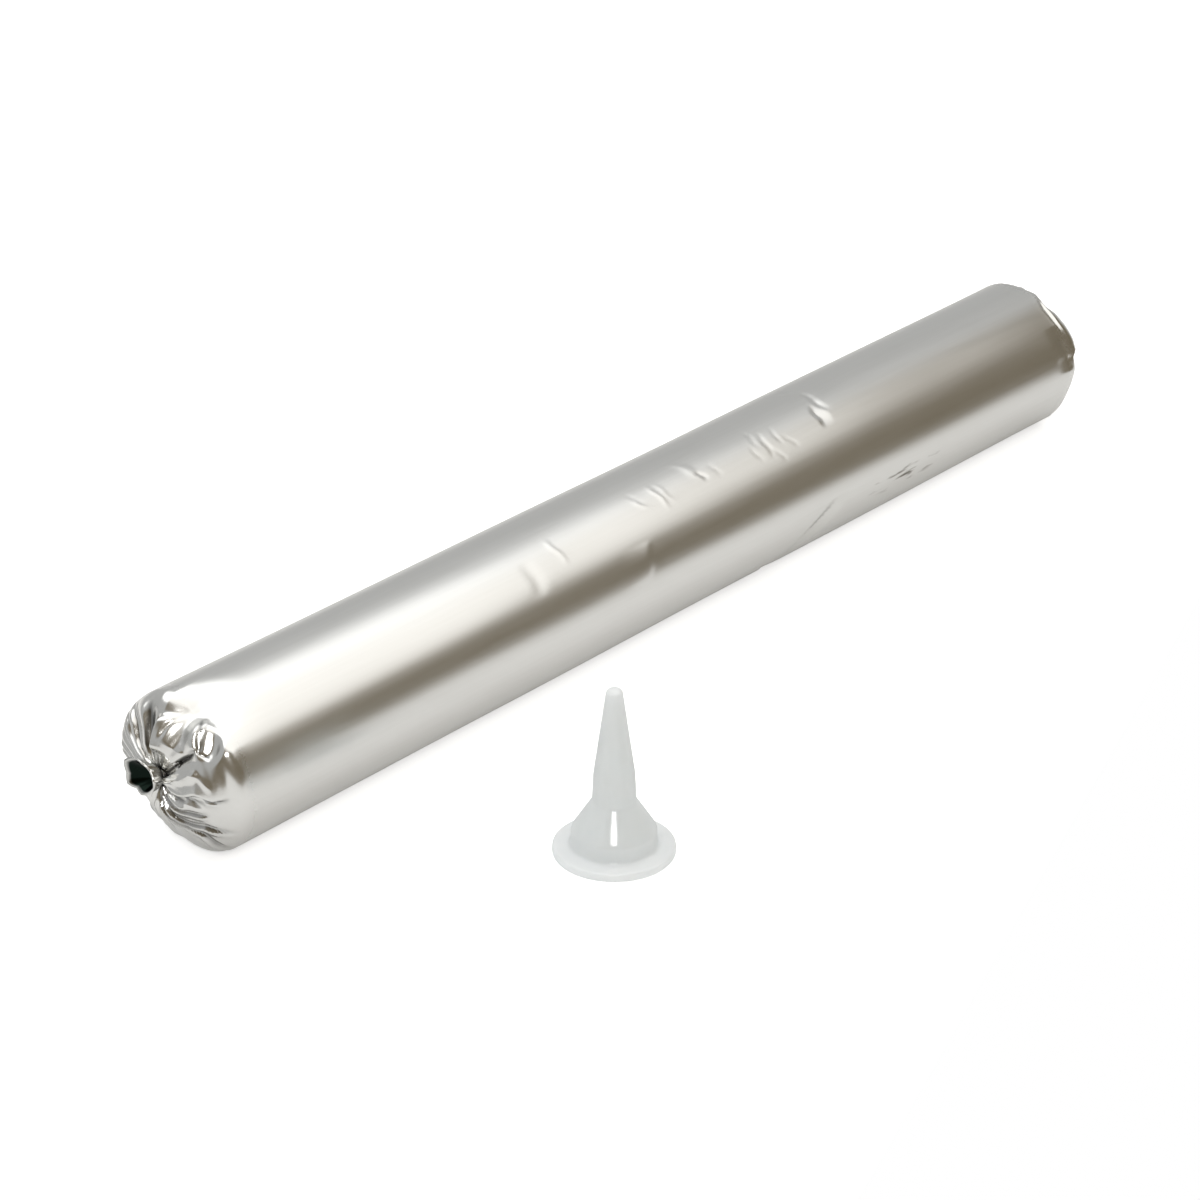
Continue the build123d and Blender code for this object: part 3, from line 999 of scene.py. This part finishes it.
        # Its folds, pleats and facets, which stay clear of the clip
        loose = round_end(angle, shape.crumpled)
        window = np.clip((1 - reach) / 0.2, 0, 1) * np.clip((reach - 0.2) / 0.15, 0, 1) * loose
        lift, dark = self.fold_lift(shape.folds, reach, angle, far)
        fanned, deep = self.fan_lift(shape.fans, reach, angle)
        pleats = self.plain_pleats(shape, reach, angle) * np.clip((reach - 0.10) / 0.06, 0, 1) * loose
        lift = soften(lift + fanned + pleats) + self.crumple(shape.seed + 1, y, z) * window
        lift = np.where(lip > 0, np.maximum(lift, self.clip_top - base), lift) * (lip < 2)
        # Painted shade in the slots of folds and pleats, and in the hollow round the clip near the gather
        dark = np.maximum(soften(np.maximum(dark, deep)), 0.8 * ramp(-r, -4.4, -2.8))
        x = shape.end.value * (self.half_length + base + lift * n_out)
        pts = np.stack([x, y + lift * n_r * ray[..., 0], z + lift * n_r * ray[..., 1]], -1)
        worked = np.clip((1.02 - r / self.radius) / 0.10, 0, 1) * 0.5 + 0.5
        return pts, worked * (1 - domed * ramp(reach, 0.45, 0.7)), dark

    def raise_blister(
        self, spot: Blister, pts: np.ndarray, reach: np.ndarray, angle: np.ndarray, here: np.ndarray
    ) -> np.ndarray:
        """Presses the shoulder flat over a puffed spot.

        Args:
            spot: The puffed spot.
            pts: The skin's points.
            reach: Each point's reach.
            angle: Each point's angle round the gather, in degrees.
            here: Which points may move.

        Returns:
            The points, with those of the spot moved on to its plane.
        """
        off = np.where(here, np.abs(wrap(angle - spot.angle)) / 60 + np.abs(reach - spot.reach), 9.0)
        middle = pts[np.unravel_index(np.argmin(off), off.shape)]
        facing = np.array(spot.facing)
        away = pts - middle
        across, up = away @ np.array(spot.across), away @ np.array(spot.up)
        lean = math.radians(spot.lean)
        across, up = across * math.cos(lean) + up * math.sin(lean), up * math.cos(lean) - across * math.sin(lean)
        ring = np.hypot(across / spot.half[0], up / spot.half[1])
        share = np.where(here & (off < 0.9), 1 - ramp(ring, 0.6, 1.3), 0.0)
        rise = spot.stand - spot.crown * ring**2 - away @ facing
        return pts + (share * rise)[..., None] * facing

    def tail_points(self, grid: SkinGrid) -> tuple[np.ndarray, np.ndarray]:
        """Works out the necks, the tails beyond the clips and their open mouths.

        Args:
            grid: The skin's fields.

        Returns:
            Points about the pack's axis, and how deep in a mouth each one is.
        """
        zone, t, a = grid.ring["zone"], grid.ring["t"], grid.turn
        neck, inside = zone == Zone.NECK, zone == Zone.MOUTH
        turn = wrap(np.degrees(a))
        corners, sizes, tears = zip(*self.tail_corners)
        lip, torn = np.interp(turn, corners, sizes), np.interp(turn, corners, tears)
        ripple = self.tail_ripple * np.abs(((turn / self.ripple_angle) % 1.0) * 2 - 1)
        outer = self.neck_radius + (lip - self.neck_radius) * t**0.8 + ripple * np.sin(math.pi * t)
        hollow = (lip - self.tail_foil) * (0.08 + 0.92 * t**0.7) * (t > 0) + ripple * 0.6 * t * (1 - t)
        r = np.where(neck, grid.ring["r"], np.where(inside, hollow, outer))
        outer = self.neck_to + (self.tail_out + torn - self.neck_to) * t
        hollow = self.tail_out + torn * t - self.mouth_depth * (1 - t)
        out = np.where(neck, grid.ring["out"], np.where(inside, hollow, outer))
        (gy, gz), (dy, dz) = self.gather, self.tail_shift
        x = grid.ring["end"] * (self.half_length + out)
        pts = np.stack([x, gy + dy * t + r * np.cos(a), gz + dz * t + r * np.sin(a)], -1)
        return pts, np.where(inside, np.clip((1.0 - t) / 0.12, 0, 1), 0.0)

    def points(self) -> tuple[np.ndarray, dict[str, np.ndarray]]:
        """Works out where every point of the skin lies.

        Returns:
            Points as rows by columns by 3 in millimetres, and the fields that the finish reads: how hard each
            point is folded, how much painted shade it gets from lying deep in a slot, and how deep in a tail's mouth.
        """
        grid = self.grid()
        zone, end = grid.ring["zone"], grid.ring["end"]
        pts, folded, painted_slot_shade = self.sleeve_points(grid)
        for shape in self.ends:
            here = (zone == Zone.END) & (end == shape.end.value)
            moved, worked, dark = self.end_points(grid, shape)
            pts = np.where(here[..., None], moved, pts)
            folded, painted_slot_shade = np.where(here, worked, folded), np.where(here, dark, painted_slot_shade)

        # Puffed spots, which lie partly on the sleeve
        for spot, sign in ((spot, shape.end.value) for shape in self.ends for spot in shape.blisters):
            across, up = pts[..., 1] - self.gather[0], pts[..., 2] - self.gather[1]
            far, angle = np.hypot(across, up), np.degrees(np.arctan2(up, across))
            near = (zone <= Zone.END) & (sign * pts[..., 0] > self.half_length - self.bevel[-1][0])
            pts = self.raise_blister(spot, pts, far / grid.span, angle, near)
            # Slits that cut the spot, with painted shade in them
            cut, deep = self.fold_lift(spot.slits, far / grid.span, angle, far)
            pts = pts + np.where(near, cut, 0.0)[..., None] * np.array(spot.facing)
            painted_slot_shade = np.maximum(painted_slot_shade, np.where(near, deep, 0.0))

        beyond = zone >= Zone.NECK
        tails, mouth = self.tail_points(grid)
        pts = np.where(beyond[..., None], tails, pts)
        pts[..., 2] = np.maximum(pts[..., 2] + self.axis_height, 0.0)
        return pts, {"folded": np.where(beyond, 1.0, folded), "gap": np.where(beyond, 0.0, painted_slot_shade), "mouth": mouth}

    def build(self) -> bpy.types.Object:
        """Bends a fine grid round into the skin and closes it."""
        pts, fields = self.points()
        n_rows = pts.shape[0]
        clear_selection()
        bpy.ops.mesh.primitive_grid_add(x_subdivisions=n_rows - 1, y_subdivisions=self.columns, size=2.0)
        skin = bpy.context.object
        skin.name = skin.data.name = "foil_sleeve"
        flat = np.empty(len(skin.data.vertices) * 3)
        skin.data.vertices.foreach_get("co", flat)
        flat = flat.reshape(-1, 3)
        row = np.rint((flat[:, 0] + 1) / 2 * (n_rows - 1)).astype(int)
        column = np.rint((flat[:, 1] + 1) / 2 * self.columns).astype(int)
        skin.data.vertices.foreach_set("co", (pts[row, column] * MM).ravel())
        for name, values in fields.items():
            attribute = skin.data.attributes.new(name, "FLOAT", "POINT")
            attribute.data.foreach_set("value", values[row, column].astype(np.float32))
        skin.data.update()
        bpy.ops.object.mode_set(mode="EDIT")
        bpy.ops.mesh.select_all(action="SELECT")
        bpy.ops.mesh.remove_doubles(threshold=2e-6)
        bpy.ops.mesh.normals_make_consistent(inside=False)
        bpy.ops.object.mode_set(mode="OBJECT")
        bpy.ops.object.shade_smooth()
        return skin

    def dress(self, skin: bpy.types.Object) -> None:
        """Gives the skin its film and sets it in the frame in place of the solid."""
        skin.data.materials.clear()
        skin.data.materials.append(self.finish.material())
        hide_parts("foil_pack")
        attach(skin, "root")


@dataclass
class Nozzle:
    """The moulded nozzle on its flange. Sizes are in millimetres."""

    finish: NozzlePolyethylene = field(default_factory=NozzlePolyethylene)
    centre: Pair = (-113.5, -85.0)
    # Radius and height, up the outside: flange, bell, cone, spout and tip
    outside: Pairs = (
        (16.2, 0.0), (16.2, 2.4), (15.5, 2.4), (14.8, 2.4), (14.1, 2.4), (13.4, 2.4), (12.5, 2.4), (11.9, 2.5),
        (11.5, 2.85), (11.25, 3.5), (11.25, 6.5), (11.12, 7.05), (10.75, 7.75), (10.6, 7.99), (10.1, 8.79),
        (8.35, 11.57), (6.6, 14.36), (6.1, 15.16), (5.95, 15.4), (5.82, 15.75), (5.78, 16.3), (5.74, 17.2),
        (5.49, 22.3), (5.45, 23.2), (5.3, 24.4), (5.1, 25.85), (2.4, 45.45), (2.2, 46.9), (2.0, 47.4), (1.55, 47.8),
        (0.85, 48.05),
    )
    inside: Pairs = ((10.05, 0.0), (10.05, 6.8), (4.25, 15.2), (4.25, 23.2), (0.85, 46.9))
    sides: int = 128
    # Small raised gate mark on the flange
    gate_angle: float = -138.0
    gate_half_angle: float = 4.6
    gate_radii: Pair = (13.9, 15.0)
    gate_above: float = 2.3
    gate_rise: float = 0.45
    edge_round: float = 0.6
    edge_segments: int = 4
    edge_angle: float = 40.0

    def profile_points(self) -> list[Pair]:
        """Joins the outside and the hollow into one section, from the underside's inner edge round to it again."""
        outer = [self.inside[0], *self.outside, (0.0, self.outside[-1][1])]
        return outer + [(0.0, self.inside[-1][1]), *reversed(self.inside)]

    def build(self) -> bpy.types.Object:
        """Spins the section round the nozzle's axis and raises the gate mark."""
        clear_selection()
        cx, cy = self.centre
        section = self.profile_points()
        bpy.ops.mesh.primitive_plane_add(size=0.001, location=(0, 0, 0))
        piece = bpy.context.object
        piece.name = piece.data.name = "nozzle_moulding"
        bpy.ops.object.mode_set(mode="EDIT")
        bpy.ops.mesh.select_all(action="SELECT")
        bpy.ops.mesh.merge(type="CENTER")
        bpy.ops.transform.translate(value=((cx + section[0][0]) * MM, cy * MM, section[0][1] * MM))
        for (r0, z0), (r1, z1) in zip(section, section[1:]):
            bpy.ops.mesh.extrude_region_move(TRANSFORM_OT_translate={"value": ((r1 - r0) * MM, 0.0, (z1 - z0) * MM)})
        bpy.ops.mesh.select_all(action="SELECT")
        bpy.ops.mesh.spin(steps=self.sides, angle=2 * math.pi, center=(cx * MM, cy * MM, 0), axis=(0, 0, 1))
        bpy.ops.mesh.select_all(action="SELECT")
        bpy.ops.mesh.remove_doubles(threshold=1e-6)
        bpy.ops.mesh.delete_loose(use_verts=True, use_edges=True, use_faces=False)
        bpy.ops.object.mode_set(mode="OBJECT")
        low, high = self.gate_radii
        for vertex in piece.data.vertices:
            dx, dy = vertex.co.x / MM - cx, vertex.co.y / MM - cy
            off = abs(wrap(math.degrees(math.atan2(dy, dx)) - self.gate_angle))
            on_ring = vertex.co.z > self.gate_above * MM and low < math.hypot(dx, dy) < high
            if on_ring and off < self.gate_half_angle:
                vertex.co.z += self.gate_rise * MM
        return piece

    def dress(self, piece: bpy.types.Object) -> None:
        """Rounds the edges, then gives the moulding its plastic and its place in the frame."""
        clear_selection()
        piece.select_set(True)
        bpy.context.view_layer.objects.active = piece
        bevel = piece.modifiers.new("edges", "BEVEL")
        bevel.width = self.edge_round * MM
        bevel.segments = self.edge_segments
        bevel.limit_method = "ANGLE"
        bevel.angle_limit = math.radians(self.edge_angle)
        bpy.ops.object.modifier_apply(modifier=bevel.name)
        bpy.ops.object.mode_set(mode="EDIT")
        bpy.ops.mesh.select_all(action="SELECT")
        bpy.ops.mesh.normals_make_consistent(inside=False)
        bpy.ops.object.mode_set(mode="OBJECT")
        bpy.ops.object.shade_smooth()
        piece.data.materials.clear()
        piece.data.materials.append(self.finish.material())
        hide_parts("nozzle")
        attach(piece, "root")


@dataclass
class Clips:
    """The pressed clips at the necks, which keep their solids."""

    finish: ClipAluminium = field(default_factory=ClipAluminium)
    nodes: tuple[str, ...] = ("front_clip", "rear_clip")

    def dress(self) -> None:
        """Gives both clips their metal."""
        metal = self.finish.material()
        for name in self.nodes:
            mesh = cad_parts[name].data
            mesh.materials.clear()
            mesh.materials.append(metal)


@dataclass
class Studio:
    """Floor, lights and camera of a plain table-top picture. Lengths are in metres, angles in degrees."""

    target: Triple = (-0.00764, 0.01294, 0.0)
    azimuth: float = -48.69
    elevation: float = 27.0
    distance: float = 1.15707
    lens: float = 118.28
    sensor: float = 36.0
    # The paper's corners and colour, and the light that it adds to what the eye and the foil see of it
    paper: Pairs = ((-1.2, -0.592), (1.2, 0.277), (-1.2, 1.4), (1.2, 1.4))
    paper_colour: str = "#dedede"
    paper_to_eye: float = 0.6
    paper_in_mirror: float = 0.14
    # Large oval soft box overhead, with its turn in radians
    oval_place: Triple = (0.105, -0.181, 0.619)
    oval_size: Pair = (0.968, 2.0)
    oval_turn: float = 0.63
    oval_radiance: float = 1.45
    # Small soft box above the camera
    key_aim: Triple = (-0.1, -0.05, 0.02)
    key_elevation: float = 37.5
    key_distance: float = 1.5
    key_size: Pair = (0.42, 0.36)
    key_radiance: float = 15.0
    # The room round the table in linear colours, and where they meet by the Y and Z of a look from the middle
    room_colour: Triple = (0.225, 0.188, 0.132)
    wall_colour: Triple = (0.590, 0.592, 0.588)
    wall_from: float = -0.127
    wall_to: float = 0.103
    table_from: float = -0.28
    table_to: float = -0.24

    def aim(self, thing: bpy.types.Object, at: Triple) -> None:
        """Turns a light or a camera to look at a point."""
        thing.rotation_euler = (Vector(at) - thing.location).to_track_quat("-Z", "Y").to_euler()

    def camera(self) -> None:
        """Sets the camera at the photograph's place and angle."""
        data = bpy.data.cameras.new("photo_camera")
        data.sensor_width = self.sensor
        data.lens = self.lens
        data.clip_start = 0.05
        data.clip_end = 50.0
        camera = bpy.data.objects.new("photo_camera", data)
        bpy.context.scene.collection.objects.link(camera)
        camera.location = Vector(self.target) + direction(self.azimuth, self.elevation) * self.distance
        self.aim(camera, self.target)
        bpy.context.scene.camera = camera

    def floor(self) -> None:
        """Lays the pale paper that the pack lies on, white to the eye, with the pack's shadow."""
        clear_selection()
        bpy.ops.mesh.primitive_plane_add(size=1.0, location=(0, 0, 0))
        paper = bpy.context.object
        paper.name = paper.data.name = "floor_paper"
        for vertex, (x, y) in zip(paper.data.vertices, self.paper):
            vertex.co = (x, y, 0.0)
        material, tree = new_material("white_paper")
        path = add_node(tree, "LightPath").outputs
        seen = add_node(tree, "Math", {0: path["Is Glossy Ray"], 1: path["Is Transmission Ray"]}, operation="MAXIMUM")
        seen = add_node(tree, "Math", {0: seen, 1: self.paper_in_mirror}, operation="MULTIPLY")
        level = add_node(
            tree, "Math", {0: path["Is Camera Ray"], 1: self.paper_to_eye, 2: seen}, operation="MULTIPLY_ADD"
        )
        glow = add_node(tree, "Emission", {"Color": linear("#ffffff"), "Strength": level})
        paint = add_node(tree, "BsdfDiffuse", {"Color": linear(self.paper_colour)})
        both = add_node(tree, "AddShader", {0: glow, 1: paint})
        add_node(tree, "OutputMaterial", {"Surface": both})
        paper.data.materials.append(material)

    def area_light(self, name: str, shape: str, place: Triple, size: Pair, radiance: float) -> bpy.types.Object:
        """Hangs a soft box that faces straight down.

        Args:
            name: The light's name.
            shape: Blender's name of its outline.
            place: Its centre.
            size: Its width and height.
            radiance: How bright its face is, where 1 is white.

        Returns:
            The light.
        """
        data = bpy.data.lights.new(name, "AREA")
        data.shape = shape
        data.size, data.size_y = size
        area = size[0] * size[1] * (math.pi / 4 if shape == "ELLIPSE" else 1.0)
        data.energy = radiance * math.pi * area
        lamp = bpy.data.objects.new(name, data)
        bpy.context.scene.collection.objects.link(lamp)
        lamp.location = place
        return lamp

    def lights(self) -> None:
        """Hangs the large oval soft box overhead and the small one above the camera."""
        oval = self.area_light("overhead_softbox", "ELLIPSE", self.oval_place, self.oval_size, self.oval_radiance)
        oval.rotation_euler = (0.0, 0.0, self.oval_turn)
        place = Vector(self.key_aim) + direction(self.azimuth, self.key_elevation) * self.key_distance
        key = self.area_light("camera_softbox", "RECTANGLE", tuple(place), self.key_size, self.key_radiance)
        self.aim(key, self.key_aim)

    def room(self) -> None:
        """Makes the room round the table: white below the table's edge, dim and warm above it, a grey wall behind."""
        world = bpy.data.worlds.new("room")
        bpy.context.scene.world = world
        world.use_nodes = True
        tree = world.node_tree
        tree.nodes.clear()
        way = add_node(tree, "TexCoord").outputs["Generated"]
        split = add_node(tree, "SeparateXYZ", {0: way}).outputs
        wall = add_node(
            tree,
            "MapRange",
            {"Value": split["Y"], "From Min": self.wall_from, "From Max": self.wall_to},
            interpolation_type="SMOOTHSTEP",
        )
        colours = {6: (*self.room_colour, 1.0), 7: (*self.wall_colour, 1.0)}
        above = add_node(tree, "Mix", {"Factor": wall, **colours}, data_type="RGBA").outputs[2]
        below = add_node(
            tree,
            "MapRange",
            {"Value": split["Z"], "From Min": self.table_from, "From Max": self.table_to, "To Min": 1.0, "To Max": 0.0},
        )
        whole = add_node(tree, "Mix", {"Factor": below, 6: above, 7: linear("#ffffff")}, data_type="RGBA").outputs[2]
        back = add_node(tree, "Background", {"Color": whole, "Strength": 1.0})
        add_node(tree, "OutputWorld", {"Surface": back})

    def build(self) -> None:
        """Sets the picture up."""
        self.camera()
        self.floor()
        self.lights()
        self.room()
        bpy.context.scene.view_settings.view_transform = "Standard"


def main() -> None:
    """Builds the studio and every piece."""
    Studio().build()
    LOG.info("studio set")
    pack = FoilPack()
    skin = pack.build()
    pack.dress(skin)
    LOG.info("foil sleeve: %d points", len(skin.data.vertices))
    nozzle = Nozzle()
    moulding = nozzle.build()
    nozzle.dress(moulding)
    LOG.info("nozzle: %d points", len(moulding.data.vertices))
    Clips().dress()
    LOG.info("clips dressed")


if __name__ == "__main__":
    main()
